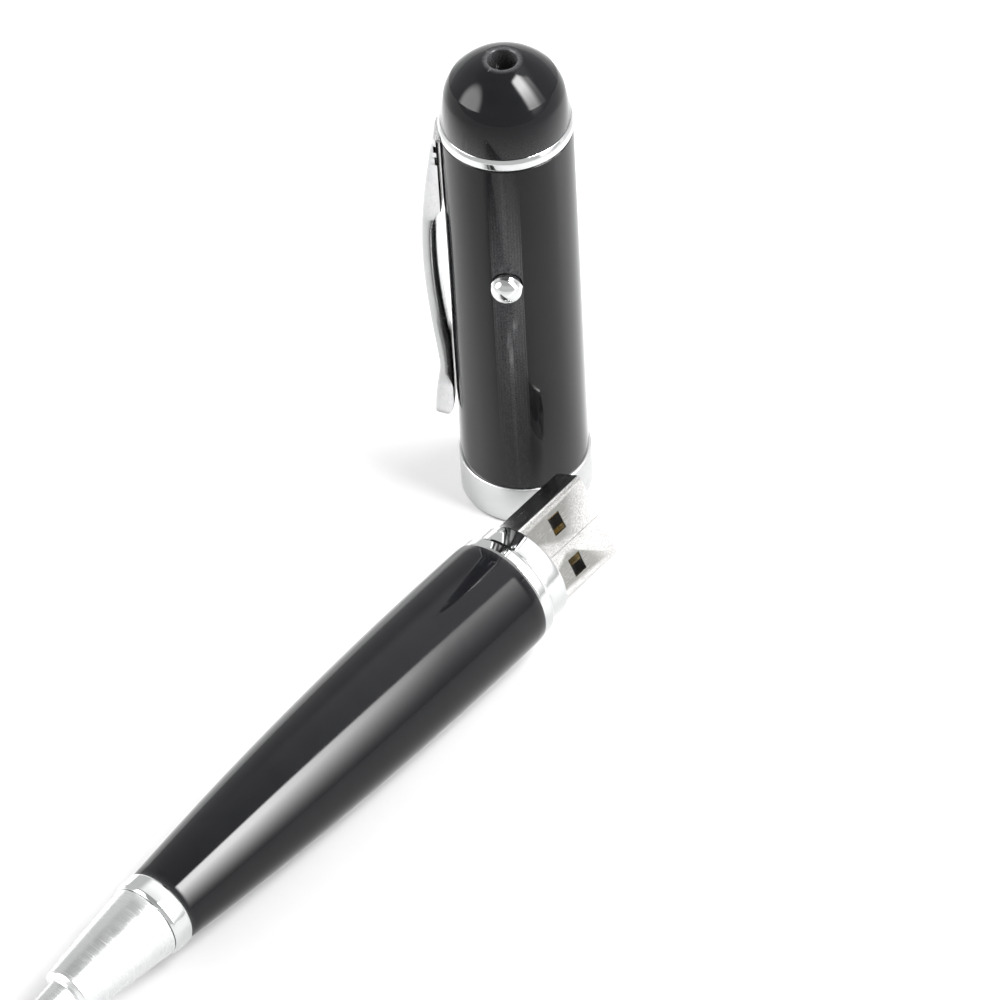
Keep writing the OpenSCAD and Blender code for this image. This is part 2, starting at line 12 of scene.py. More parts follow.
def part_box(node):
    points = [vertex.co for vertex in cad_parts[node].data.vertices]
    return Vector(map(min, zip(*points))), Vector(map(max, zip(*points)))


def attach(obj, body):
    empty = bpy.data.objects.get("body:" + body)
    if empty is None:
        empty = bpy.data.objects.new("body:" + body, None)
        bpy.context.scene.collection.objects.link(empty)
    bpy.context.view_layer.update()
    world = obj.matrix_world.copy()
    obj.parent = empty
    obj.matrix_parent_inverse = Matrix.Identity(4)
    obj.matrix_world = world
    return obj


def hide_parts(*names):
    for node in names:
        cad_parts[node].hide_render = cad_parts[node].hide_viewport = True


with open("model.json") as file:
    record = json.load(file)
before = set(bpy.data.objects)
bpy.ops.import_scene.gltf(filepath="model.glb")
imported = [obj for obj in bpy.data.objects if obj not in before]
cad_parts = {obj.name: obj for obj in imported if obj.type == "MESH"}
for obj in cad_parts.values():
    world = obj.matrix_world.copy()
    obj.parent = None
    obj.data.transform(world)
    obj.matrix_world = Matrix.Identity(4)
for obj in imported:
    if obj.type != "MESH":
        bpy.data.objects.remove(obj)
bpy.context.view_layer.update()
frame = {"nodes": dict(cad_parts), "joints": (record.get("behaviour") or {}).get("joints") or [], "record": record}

MM = 0.001
ROUND = 144  # sides of a turned piece

# ---------- where things are, from the frame ----------


def mount(name):
    return next(m for m in frame["record"]["mounts"] if m["name"] == name)


def joint(name):
    return next(j for j in frame["joints"] if j["name"] == name)


def height(node):
    low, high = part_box(node)
    return low.z / MM, high.z / MM


def radius(node):
    """Outer radius in mm of a node that is round about the cap's axis."""
    low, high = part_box(node)
    return (high.x - low.x) / 2 / MM


CAP_R = radius("cap_tube")
CAP_LOW, CAP_HIGH = height("cap_tube")
COLLAR_R = radius("cap_collar")
COLLAR_TOP = height("cap_collar")[1]
TRIM_R = radius("trim_ring")
TRIM_LOW, TRIM_TOP = height("trim_ring")
SPIGOT_LOW, CROWN_TOP = height("crown")
CROWN_R = radius("crown")
CLIP_LOW, CLIP_HIGH = height("clip")
CAP_WALL = 0.65
CAP_IN_R = CAP_R - CAP_WALL
INSERT_R = 6.3
CROWN_BORE_R = 5.2
LENS_TOP = height("lens")[1]

flex = joint("clip_flex")
CLIP_DIR = Vector((flex["pos_m"][0], flex["pos_m"][1], 0)).normalized()
CLIP_SIDE = Vector((-CLIP_DIR.y, CLIP_DIR.x, 0))
press = Vector(joint("button_press")["axis"])
BUTTON_DIR = -press.normalized()
BUTTON_LOW, BUTTON_HIGH = height("button")
BUTTON_Z = (BUTTON_LOW + BUTTON_HIGH) / 2

# the barrel's own frame: +Z towards the plug, 0 at the lacquered tube's back end
neck_mount = mount("barrel_neck")
NECK_MOUNT_AT = 3.5
BARREL_AXIS = Vector(neck_mount["axis"]).normalized()
BARREL_X = Vector((1, 0, 0))
BARREL_Y = BARREL_AXIS.cross(BARREL_X)
BARREL_O = Vector(neck_mount["pos_m"]) - BARREL_AXIS * NECK_MOUNT_AT * MM
BARREL_LEN = 62.3
BARREL_R = 7.6
BELLY_AT = 8.0
BOW_R = 568.0
BAY_R, BAY_LEN = 6.4, 26.0
WAIST_WALL = 0.9
FRONT_BORE_R, FRONT_BORE_LEN = 4.25, 8.0
PLUG_TURN = math.radians(62)
PLUG_W, PLUG_T, PLUG_WALL, PLUG_ROUND = 12.0, 4.5, 0.3, 0.55
PLUG_TOP, PLUG_LEN = 17.0, 18.7
NECK_TOP = 5.2
NOSE_AT = 65.2
CONE_END, TIP_END = 79.2, 85.2
TIP_BORE_R = 1.275


def axes(origin, x, y, z):
    """A matrix that takes millimetres along x, y and z from origin to the row frame."""
    m = Matrix((x, y, z)).transposed().to_4x4()
    return Matrix.Translation(origin) @ m @ Matrix.Scale(MM, 4)


UP = Vector((0, 0, 1))
CAP = axes(Vector((0, 0, 0)), Vector((1, 0, 0)), Vector((0, 1, 0)), UP)
BARREL = axes(BARREL_O, BARREL_X, BARREL_Y, BARREL_AXIS)
PLUG = BARREL @ Matrix.Rotation(PLUG_TURN, 4, "Z")
BUTTON = axes(UP * BUTTON_Z * MM, BUTTON_DIR.cross(UP), UP, BUTTON_DIR)
CLIP = axes(Vector((0, 0, 0)), CLIP_DIR, CLIP_SIDE, UP)

# ---------- camera ----------

CAMERA_TURN = math.radians(132.5)  # the way it looks, from +X
CAMERA_TILT = math.radians(46)
CAMERA_ROLL = math.radians(-3.67)
CAMERA_FAR = 0.822
CAMERA_LENS = 233.8
CAMERA_AIM = Vector((-0.00129, -0.00393, -0.00195))


def make_camera():
    """Looks down at the pen from the photograph's angle."""
    flat = Vector((math.cos(CAMERA_TURN), math.sin(CAMERA_TURN), 0))
    look = flat * math.cos(CAMERA_TILT) - UP * math.sin(CAMERA_TILT)
    right = look.cross(UP).normalized()
    up = right.cross(look)
    roll = Matrix.Rotation(-CAMERA_ROLL, 3, look)
    right, up = roll @ right, roll @ up
    data = bpy.data.cameras.new("camera")
    data.lens = CAMERA_LENS
    data.sensor_width = 36
    data.clip_start, data.clip_end = 0.01, 20
    cam = bpy.data.objects.new("camera", data)
    turn = Matrix((right, up, -look)).transposed().to_4x4()
    cam.matrix_world = Matrix.Translation(CAMERA_AIM - look * CAMERA_FAR) @ turn
    bpy.context.scene.collection.objects.link(cam)
    bpy.context.scene.camera = cam


# ---------- node tree helpers ----------


class Tree:
    """Short ways to add nodes to a material or world."""

    def __init__(self, tree):
        self.tree = tree
        tree.nodes.clear()

    def node(self, kind, inputs=None, **settings):
        n = self.tree.nodes.new(kind)
        for key, value in settings.items():
            setattr(n, key, value)
        for key, value in (inputs or {}).items():
            if isinstance(value, bpy.types.NodeSocket):
                self.tree.links.new(value, n.inputs[key])
            else:
                n.inputs[key].default_value = value
        return n

    def math(self, operation, a, b=0.0, c=0.0):
        n = self.node("ShaderNodeMath", {0: a, 1: b, 2: c}, operation=operation)
        return n.outputs[0]

    def dot(self, vector, axis):
        n = self.node("ShaderNodeVectorMath", {0: vector, 1: tuple(axis)}, operation="DOT_PRODUCT")
        return n.outputs["Value"]

    def mapped(self, value, low, high, out_low, out_high, smooth=False):
        kind = "SMOOTHSTEP" if smooth else "LINEAR"
        n = self.node(
            "ShaderNodeMapRange",
            {"Value": value, 1: low, 2: high, 3: out_low, 4: out_high},
            interpolation_type=kind,
        )
        return n.outputs[0]

    def mix(self, factor, a, b):
        n = self.node("ShaderNodeMix", data_type="RGBA")
        for key, value in ((0, factor), (6, a), (7, b)):
            if isinstance(value, bpy.types.NodeSocket):
                self.tree.links.new(value, n.inputs[key])
            else:
                n.inputs[key].default_value = value
        return n.outputs[2]

    def noise(self, vector, scale, detail=3.0, rough=0.55, distortion=0.0):
        n = self.node(
            "ShaderNodeTexNoise",
            {"Vector": vector, "Scale": scale, "Detail": detail, "Roughness": rough},
        )
        n.inputs["Distortion"].default_value = distortion
        return n.outputs[0]

    def stretched(self, vector, rotation, scale):
        n = self.node(
            "ShaderNodeMapping", {"Vector": vector, "Rotation": rotation, "Scale": scale}
        )
        return n.outputs[0]

    def scaled(self, vector, factor):
        n = self.node("ShaderNodeVectorMath", {0: vector, 3: factor}, operation="SCALE")
        return n.outputs[0]

    def rings(self, position, scale, detail=2.0):
        """Noise that changes only along one line, such as the marks of a lathe."""
        n = self.node("ShaderNodeTexNoise", {"W": position, "Scale": scale}, noise_dimensions="1D")
        n.inputs["Detail"].default_value = detail
        return n.outputs[0]


BRUSH_STRETCH = 0.96  # share of the run along the axis that a brush mark ignores
BUMP_DEEP = 0.02 * MM  # height of a bump of 1


def colour(rgb, k=1.0):
    return (rgb[0] * k, rgb[1] * k, rgb[2] * k, 1.0)


def finish_material(
    name,
    base,
    metallic=0.0,
    rough=0.3,
    rough_vary=0.06,
    tint=0.08,
    tint_scale=0.25,
    turned=None,
    turned_scale=9.0,
    turned_depth=0.0,
    brushed=None,
    grain=0.0,
    grain_scale=12.0,
    scratches=0.0,
    edge=None,
    edge_rough=None,
    ior=1.45,
    extra=None,
):
    """A material in millimetre coordinates: colour that varies slowly, roughness with
    smudges and scratches, lathe or brush marks, surface grain and worn edges."""
    m = bpy.data.materials.new(name)
    m.use_nodes = True
    t = Tree(m.node_tree)
    place = t.node("ShaderNodeTexCoord").outputs["Object"]
    mm = t.scaled(place, 1 / MM)

    slow = t.noise(mm, tint_scale, 4, 0.6, 0.6)
    smudge = t.noise(mm, 0.55, 5, 0.6, 1.2)
    fine = t.noise(mm, 7.0, 3)
    shade = t.mix(t.mapped(slow, 0.3, 0.7, 0, 1), colour(base, 1 - tint), colour(base, 1 + tint))

    roughness = t.mapped(smudge, 0.25, 0.75, rough - rough_vary, rough + rough_vary)
    grit = 0.25 * rough_vary
    roughness = t.math("ADD", roughness, t.mapped(fine, 0.3, 0.7, -grit, grit))
    roughness = t.math("MAXIMUM", roughness, max(0.03, rough - rough_vary))

    relief = None
    if scratches:
        # two sets of hairlines: noise stretched along one axis and turned
        long = t.stretched(mm, (0.5, 0.9, 0.4), (0.5, 14, 14))
        cross = t.stretched(mm, (1.2, 0.2, 2.1), (16, 0.6, 16))
        one = t.mapped(t.noise(long, 1.0, 2), 0.68, 0.74, 0, 1)
        two = t.mapped(t.noise(cross, 1.0, 2), 0.7, 0.76, 0, 1)
        hair = t.math("MAXIMUM", one, two)
        patchy = t.math("MULTIPLY", hair, t.mapped(slow, 0.45, 0.62, 0, 1))
        roughness = t.math("MULTIPLY_ADD", patchy, scratches, roughness)
        relief = t.math("MULTIPLY", patchy, -0.15)
    if turned is not None:
        marks = t.rings(t.dot(mm, turned), turned_scale, 3)
        roughness = t.math("ADD", roughness, t.mapped(marks, 0.3, 0.7, -0.04, 0.05))
        lathe = t.math("MULTIPLY", marks, turned_depth)
        relief = lathe if relief is None else t.math("ADD", relief, lathe)
    if brushed is not None:
        # marks that run along an axis: the noise is stretched along it
        part = {0: t.dot(mm, brushed), 1: tuple(brushed)}
        along = t.node("ShaderNodeVectorMath", part, operation="MULTIPLY").outputs[0]
        shift = t.scaled(along, -BRUSH_STRETCH)
        flat = t.node("ShaderNodeVectorMath", {0: mm, 1: shift}, operation="ADD").outputs[0]
        lines = t.noise(flat, 9.0, 4, 0.65)
        roughness = t.math("ADD", roughness, t.mapped(lines, 0.3, 0.7, -0.05, 0.07))
        relief = t.math("MULTIPLY", lines, 0.25)
    if grain:
        pits = t.noise(mm, grain_scale, 3, 0.6)
        pits = t.math("MULTIPLY", pits, grain)
        relief = pits if relief is None else t.math("ADD", relief, pits)
    if edge is not None:
        point = t.node("ShaderNodeNewGeometry").outputs["Pointiness"]
        worn = t.mapped(point, 0.515, 0.57, 0, 1, smooth=True)
        worn = t.math("MULTIPLY", worn, t.mapped(fine, 0.35, 0.6, 0.25, 1))
        shade = t.mix(worn, shade, colour(edge))
        if edge_rough is not None:
            roughness = t.math("MULTIPLY_ADD", worn, edge_rough - rough, roughness)
    if extra is not None:
        shade = extra(t, mm, shade)

    shader = t.node(
        "ShaderNodeBsdfPrincipled",
        {"Base Color": shade, "Metallic": metallic, "IOR": ior},
    )
    t.tree.links.new(roughness, shader.inputs["Roughness"])
    if relief is not None:
        bump = t.node("ShaderNodeBump", {"Height": relief, "Strength": 0.35, "Distance": BUMP_DEEP})
        t.tree.links.new(bump.outputs[0], shader.inputs["Normal"])
    out = t.node("ShaderNodeOutputMaterial")
    t.tree.links.new(shader.outputs[0], out.inputs[0])
    return m


# ---------- materials ----------


def board_pattern(t, mm, shade):
    """Copper traces under green solder mask."""
    cells = t.node("ShaderNodeTexVoronoi", {"Vector": mm, "Scale": 0.9}, feature="DISTANCE_TO_EDGE")
    trace = t.mapped(cells.outputs[0], 0.03, 0.06, 1, 0)
    dots = t.node("ShaderNodeTexVoronoi", {"Vector": mm, "Scale": 0.9})
    pad = t.mapped(dots.outputs["Distance"], 0.1, 0.13, 1, 0)
    shade = t.mix(trace, shade, (0.07, 0.3, 0.1, 1))
    return t.mix(pad, shade, (0.75, 0.62, 0.3, 1))


def make_materials():
    made = {}

    def add(name, *args, **kw):
        made[name] = finish_material(name, *args, **kw)

    add(
        "black_lacquer", (0.0035, 0.0036, 0.0042), rough=0.07, rough_vary=0.025, ior=1.3, tint=0.15,
        grain=0.06, grain_scale=1.6, scratches=0.06, edge=(0.05, 0.05, 0.052), edge_rough=0.2,
    )
    add(
        "polished_chrome", (0.65, 0.658, 0.66), 1.0, rough=0.06, rough_vary=0.03, tint=0.03,
        scratches=0.12, edge=(0.9, 0.9, 0.91), edge_rough=0.12,
    )
    add(
        "clip_chrome", (0.38, 0.384, 0.384), 1.0, rough=0.24, rough_vary=0.05, tint=0.04,
        scratches=0.1, edge=(0.7, 0.7, 0.71), edge_rough=0.15,
    )
    add(
        "satin_collar", (0.58, 0.587, 0.587), 1.0, rough=0.34, rough_vary=0.05, tint=0.04,
        turned=UP, turned_scale=7.0, turned_depth=0.3, edge=(0.7, 0.7, 0.71), edge_rough=0.24,
    )
    add(
        "satin_nose", (0.72, 0.73, 0.73), 1.0, rough=0.23, rough_vary=0.05, tint=0.04,
        turned=BARREL_AXIS, turned_scale=6.0, turned_depth=0.2, scratches=0.1,
        edge=(0.9, 0.9, 0.9), edge_rough=0.12,
    )
    add(
        "plug_steel", (0.30, 0.297, 0.283), 1.0, rough=0.22, rough_vary=0.06, tint=0.06,
        brushed=BARREL_AXIS, edge=(0.82, 0.81, 0.8), edge_rough=0.15,
    )
    add(
        "plain_brass", (0.72, 0.5, 0.2), 1.0, rough=0.26, rough_vary=0.08, tint=0.12,
        turned=BARREL_AXIS, turned_scale=5.0, turned_depth=0.3, scratches=0.1,
        edge=(0.85, 0.66, 0.34), edge_rough=0.16,
    )
    add("dark_plastic", (0.028, 0.028, 0.03), rough=0.42, grain=0.5, edge=(0.07, 0.07, 0.07))
    add(
        "pale_plastic", (0.66, 0.65, 0.6), rough=0.45, grain=0.4, tint=0.04,
        edge=(0.78, 0.77, 0.73),
    )
    add("tongue_plastic", (0.03, 0.03, 0.033), rough=0.36, grain=0.4, edge=(0.08, 0.08, 0.08))
    add("circuit_board", (0.02, 0.13, 0.05), rough=0.28, tint=0.1, extra=board_pattern)
    add(
        "chip_body", (0.018, 0.018, 0.02), rough=0.5, grain=0.8, grain_scale=20,
        edge=(0.05, 0.05, 0.05),
    )
    add("ceramic_tan", (0.42, 0.3, 0.19), rough=0.35, grain=0.3, tint=0.15, edge=(0.6, 0.58, 0.55))
    add(
        "gold_contacts", (0.86, 0.62, 0.25), 1.0, rough=0.2, brushed=BARREL_AXIS,
        edge=(0.9, 0.72, 0.4),
    )
    add(
        "cell_steel", (0.66, 0.66, 0.65), 1.0, rough=0.24, tint=0.05, scratches=0.12,
        turned=UP, turned_scale=3.0, turned_depth=0.1, edge=(0.8, 0.8, 0.8),
    )
    add("tinned_wire", (0.7, 0.7, 0.69), 1.0, rough=0.28, tint=0.08, grain=0.2)
    made["lamp_resin"] = clear_material("lamp_resin", (0.80, 0.76, 0.97), 0.12)
    made["clear_lens"] = clear_material("clear_lens", (0.93, 0.95, 0.97), 0.05)
    return made


def clear_material(name, tone, rough):
    """Moulded clear resin with a faint ripple."""
    m = bpy.data.materials.new(name)
    m.use_nodes = True
    t = Tree(m.node_tree)
    place = t.node("ShaderNodeTexCoord").outputs["Object"]
    mm = t.scaled(place, 1 / MM)
    haze = t.noise(mm, 1.2, 4)
    shade = t.mix(haze, colour(tone, 0.94), colour(tone, 1.0))
    shader = t.node(
        "ShaderNodeBsdfPrincipled",
        {"Base Color": shade, "IOR": 1.5, "Transmission Weight": 0.9},
    )
    t.tree.links.new(t.mapped(haze, 0.3, 0.7, rough * 0.7, rough * 1.3), shader.inputs["Roughness"])
    bump = t.node("ShaderNodeBump", {"Height": haze, "Strength": 0.2, "Distance": BUMP_DEEP})
    t.tree.links.new(bump.outputs[0], shader.inputs["Normal"])
    out = t.node("ShaderNodeOutputMaterial")
    t.tree.links.new(shader.outputs[0], out.inputs[0])
    return m


materials = make_materials()

# ---------- mesh helpers ----------


def fillet(points, steps=5):
    """A closed outline of (r, z, radius): each corner becomes an arc of its radius."""
    out = []
    count = len(points)
    for i, (r, z, round_r) in enumerate(points):
        here = Vector((r, z))
        before = Vector(points[i - 1][:2]) - here
        after = Vector(points[(i + 1) % count][:2]) - here
        if round_r <= 0 or before.length < 1e-6 or after.length < 1e-6:
            out.append((r, z))
            continue
        half = before.angle(after) / 2
        back = min(round_r / math.tan(half), before.length * 0.49, after.length * 0.49)
        round_now = back * math.tan(half)
        centre = here + (before.normalized() + after.normalized()).normalized() * (
            round_now / math.sin(half)
        )
        start = here + before.normalized() * back - centre
        end = here + after.normalized() * back - centre
        turn = start.angle_signed(end)
        for k in range(steps + 1):
            a = -turn * k / steps
            x = start.x * math.cos(a) - start.y * math.sin(a)
            y = start.x * math.sin(a) + start.y * math.cos(a)
            out.append((centre.x + x, centre.y + y))
    return out


def mesh_piece(name, verts, faces, place):
    data = bpy.data.meshes.new(name)
    data.from_pydata([place @ Vector(v) for v in verts], [], faces)
    data.validate()
    piece = bpy.data.objects.new(name, data)
    bpy.context.scene.collection.objects.link(piece)
    return piece


def clean(piece, angle=32):
    """Merges doubles, points faces outwards and shades smooth up to an angle."""
    bm = bmesh.new()
    bm.from_mesh(piece.data)
    bmesh.ops.remove_doubles(bm, verts=bm.verts, dist=0.0004 * MM)
    bmesh.ops.dissolve_degenerate(bm, edges=bm.edges, dist=0.0002 * MM)
    bmesh.ops.recalc_face_normals(bm, faces=bm.faces)
    bm.to_mesh(piece.data)
    bm.free()
    piece.data.shade_smooth()
    piece.data.set_sharp_from_angle(angle=math.radians(angle))
    return piece


def turned_mesh(name, outline, place, sides=ROUND, wave=None):
    """A closed outline of (r, z) turned about the local Z axis. wave(r, z, angle) may
    move a point's radius, as a thread does."""
    verts, faces = [], []
    count = len(outline)
    for k in range(sides):
        a = 2 * math.pi * k / sides
        for r, z in outline:
            rr = r if wave is None else wave(r, z, a)
            verts.append((rr * math.cos(a), rr * math.sin(a), z))
    for k in range(sides):
        for i in range(count):
            j, n = (i + 1) % count, (k + 1) % sides
            if outline[i][0] < 1e-6 and outline[j][0] < 1e-6:
                continue
            faces.append((k * count + i, k * count + j, n * count + j, n * count + i))
    return clean(mesh_piece(name, verts, faces, place))


def box_mesh(name, size, centre, place):
    x, y, z = (s / 2 for s in size)
    verts = [
        (centre[0] + i * x, centre[1] + j * y, centre[2] + k * z)
        for i in (-1, 1)
        for j in (-1, 1)
        for k in (-1, 1)
    ]
    faces = [(0, 1, 3, 2), (4, 6, 7, 5), (0, 4, 5, 1), (2, 3, 7, 6), (0, 2, 6, 4), (1, 5, 7, 3)]
    return mesh_piece(name, verts, faces, place)


def extruded(name, outline, z0, z1, place):
    count = len(outline)
    verts = [(x, y, z0) for x, y in outline] + [(x, y, z1) for x, y in outline]
    faces = [(i, (i + 1) % count, count + (i + 1) % count, count + i) for i in range(count)]
    faces += [tuple(range(count))[::-1], tuple(range(count, 2 * count))]
    return clean(mesh_piece(name, verts, faces, place))


def cut(piece, *cutters):
    """Takes the cutters away from the piece and removes them."""
    for cutter in cutters:
        mod = piece.modifiers.new("cut", "BOOLEAN")
        mod.operation = "DIFFERENCE"
        mod.solver = "EXACT"
        mod.object = cutter
        bpy.context.view_layer.update()
        done = bpy.data.meshes.new_from_object(
            piece.evaluated_get(bpy.context.evaluated_depsgraph_get())
        )
        piece.modifiers.clear()
        piece.data = done
        bpy.data.objects.remove(cutter)
    return piece


def bevelled(piece, width, angle=40, segments=3):
    mod = piece.modifiers.new("bevel", "BEVEL")
    mod.width = width * MM
    mod.segments = segments
    mod.limit_method = "ANGLE"
    mod.angle_limit = math.radians(angle)
    mod.harden_normals = True
    return piece


def dress(piece, slot_name, body, *nodes, finish=None):
    """Gives a piece its material (the finish if one is named, else the slot's) and its body, and hides the CAD
    nodes it stands for.
    """
    piece.data.materials.clear()
    piece.data.materials.append(materials[finish or slot_name])
    if nodes:
        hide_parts(*nodes)
    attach(piece, body)
    return piece


# ---------- cap ----------


BUTTON_HOLE_R = 1.86
CLIP_SLOT_W = 4.3


def make_cap_tube():
    """Lacquered tube with the button's hole and the slot for the clip's foot."""
    outline = fillet([
        (CAP_IN_R, CAP_LOW, 0.05), (CAP_R, CAP_LOW, 0.12),
        (CAP_R, CAP_HIGH, 0.12), (CAP_IN_R, CAP_HIGH, 0.05),
    ])
    tube = turned_mesh("cap_lacquer", outline, CAP)
    low, high = CAP_R - 2, CAP_R + 3
    round_cut = [(0, low), (BUTTON_HOLE_R, low), (BUTTON_HOLE_R, high), (0, high)]
    hole = turned_mesh("hole_cutter", round_cut, BUTTON, 48)
    low, high = CAP_HIGH - 1.4, CAP_HIGH - 0.15
    middle = (CAP_R - 0.5, 0, (low + high) / 2)
    slot_box = box_mesh("slot_cutter", (3, CLIP_SLOT_W, high - low), middle, CLIP)
    cut(tube, hole, slot_box)
    clean(tube, 30)
    dress(tube, "black_lacquer", "cap", "cap_tube")


def make_collar():
    """Satin band round the cap's mouth, with a soft lower edge."""
    outline = fillet([
        (CAP_IN_R, 0, 0.1), (COLLAR_R, 0, 0.45), (COLLAR_R, COLLAR_TOP - 0.02, 0.28),
        (COLLAR_R - 0.42, COLLAR_TOP, 0.04), (CAP_IN_R, COLLAR_TOP, 0.05),
    ])
    dress(turned_mesh("satin_band", outline, CAP), "satin_collar", "cap", "cap_collar")


def make_trim_ring():
    """Polished ring between the tube and the crown."""
    mid = (TRIM_LOW + TRIM_TOP) / 2
    outline = fillet([
        (INSERT_R, TRIM_LOW, 0.05), (TRIM_R - 0.2, TRIM_LOW, 0.1), (TRIM_R, TRIM_LOW + 0.4, 0.3),
        (TRIM_R, mid + 0.4, 0.3), (TRIM_R - 0.25, TRIM_TOP, 0.1), (INSERT_R, TRIM_TOP, 0.05),
    ], 6)
    dress(turned_mesh("crown_ring", outline, CAP), "polished_chrome", "crown_seat", "trim_ring")


THREAD_PITCH = 1.0
THREAD_DEPTH = 0.28
CROWN_BULGE = 0.3
SHOULDER_R, SHOULDER_BULGE = 7.3, 0.06
RIM_R = 6.5  # the crisp edge round the domed top
FLAT_R = 2.35  # the small flat round the window
WINDOW_R = 1.8


def thread_wave(r_crest, z0, z1):
    """Moves points on a thread's crest in and out along a helix, fading at both ends."""

    def wave(r, z, a):
        if abs(r - r_crest) > 1e-4 or not z0 < z < z1:
            return r
        phase = (z / THREAD_PITCH - a / (2 * math.pi)) % 1
        fade = min(1, (z - z0) / 0.6, (z1 - z) / 0.6)
        return r - THREAD_DEPTH * fade * abs(2 * phase - 1)

    return wave


def steps_between(r, z0, z1, step=0.125):
    count = round((z1 - z0) / step)
    return [(r, z0 + (z1 - z0) * i / count) for i in range(1, count)]


def arc_between(start, end, bulge, steps):
    """Points of an arc from start to end that stands bulge proud of the chord, on the
    side away from the axis."""
    a, b = Vector(start), Vector(end)
    chord = b - a
    out = Vector((-chord.y, chord.x)).normalized()
    if out.x < 0:
        out = -out
    points = []
    for i in range(steps + 1):
        u = i / steps
        points.append(tuple(a + chord * u + out * bulge * 4 * u * (1 - u)))
    return points


def mark_crease(piece, point):
    """Keeps the ring of edges at (r, z) crisp on a smoothly shaded piece."""
    spots = [Vector((math.hypot(v.co.x, v.co.y), v.co.z)) / MM for v in piece.data.vertices]
    ring = {i for i, spot in enumerate(spots) if (spot - Vector(point)).length < 0.01}
    for edge in piece.data.edges:
        if ring.issuperset(edge.vertices):
            edge.use_edge_sharp = True


def make_crown():
    """Threaded spigot, tapered side, soft shoulder, domed top and the lamp's window."""
    spigot_r = INSERT_R - 0.05
    rise = CROWN_TOP - TRIM_TOP
    shoulder = Vector((SHOULDER_R, TRIM_TOP + 0.45 * rise))
    rim = Vector((RIM_R, TRIM_TOP + 0.65 * rise))
    low = [(CROWN_BORE_R, SPIGOT_LOW), (spigot_r - 0.25, SPIGOT_LOW), (spigot_r, SPIGOT_LOW + 0.3)]
    crest = steps_between(spigot_r, SPIGOT_LOW + 0.3, TRIM_TOP - 0.4)
    side = [(spigot_r, TRIM_TOP - 0.4), (spigot_r, TRIM_TOP)]
    side += arc_between((CROWN_R - 0.15, TRIM_TOP), (CROWN_R, TRIM_TOP + 0.15), 0.03, 4)
    side += arc_between(shoulder, rim, SHOULDER_BULGE, 10)
    top = arc_between(rim, (FLAT_R, CROWN_TOP), CROWN_BULGE, 14)[1:]
    end = [(WINDOW_R + 0.12, CROWN_TOP), (WINDOW_R, CROWN_TOP - 0.12)]
    end += [(WINDOW_R, LENS_TOP + 0.6), (WINDOW_R + 0.35, LENS_TOP), (CROWN_BORE_R, LENS_TOP)]
    wave = thread_wave(spigot_r, SPIGOT_LOW + 0.4, TRIM_TOP - 0.5)
    crown = turned_mesh("crown_lacquer", low + crest + side + top + end, CAP, wave=wave)
    mark_crease(crown, rim)
    dress(crown, "black_lacquer", "crown", "crown")


def make_button():
    """Push button: a flange behind the wall, a stem and a polished ball dome."""
    flange_at, flange_r, flange_t = 6.3, 2.6, 0.6
    stem_r, head_r, dome_r = 1.75, 1.95, 1.93
    head_at, dome_at = CAP_R + 0.55, CAP_R + 0.95
    outline = [(0, flange_at)] + fillet([
        (flange_r, flange_at, 0.1), (flange_r, flange_at + flange_t, 0.1),
        (stem_r, flange_at + flange_t, 0.05), (stem_r, head_at, 0.03),
        (head_r, head_at, 0.08), (head_r, dome_at, 0.15),
    ], 4)
    reach = max(BUTTON_DIR.dot(corner) for corner in box_corners(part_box("button"))) / MM
    rise = min(reach, CAP_R + 2.4) - dome_at
    steps = 16
    for k in range(1, steps + 1):
        a = math.pi / 2 * k / steps
        outline.append((dome_r * math.cos(a), dome_at + rise * math.sin(a)))
    dress(turned_mesh("button_dome", outline, BUTTON, 96), "polished_chrome", "button", "button")


def box_corners(pair):
    """The four lower corners of a box."""
    low, high = pair
    return [Vector((x, y, low.z)) for x in (low.x, high.x) for y in (low.y, high.y)]


# clip, in its own frame: x out from the cap's axis, y across, z up
CLIP_W = 4.6
CLIP_T = 1.8
CLIP_GAP = 0.15
CLIP_TOUCH = 21.0
CLIP_TOUCH_OUT = 1.74
CLIP_DROP, CLIP_BOW, CLIP_BOW_SKEW, CLIP_FLARE = 0.84, 1.63, 1.12, 1.0
CLIP_ROOT, CLIP_ROOT_BLEND = 46.9, 1.0
CLIP_HEEL, CLIP_HEEL_BLEND = 24.0, 3.0
CLIP_FOOT = CAP_HIGH - 1.25
CLIP_TOE = 15.4
CLIP_TOE_T = 0.5
CLIP_TIP_ROUND = 1.2
CLIP_DRAFT = 0.2  # how much the sides lean in per mm of height
CLIP_NARROW = 0.85  # width at the tip, as a share of the full width


def ease(u):
    v = min(1.0, max(0.0, u))
    return v * v * (3 - 2 * v)


def clip_out(z):
    """Stand-off of the clip's outer face from the tube."""
    if z > CLIP_TOUCH:
        u = (z - CLIP_TOUCH) / (CLIP_FOOT - CLIP_TOUCH)
        bow_out = CLIP_BOW * math.sin(math.pi * min(u, 1.0) ** CLIP_BOW_SKEW)
        return CLIP_TOUCH_OUT - CLIP_DROP * u + bow_out
    u = (CLIP_TOUCH - z) / (CLIP_TOUCH - CLIP_LOW)
    return CLIP_TOUCH_OUT + CLIP_FLARE * math.sin(math.pi / 2 * u)


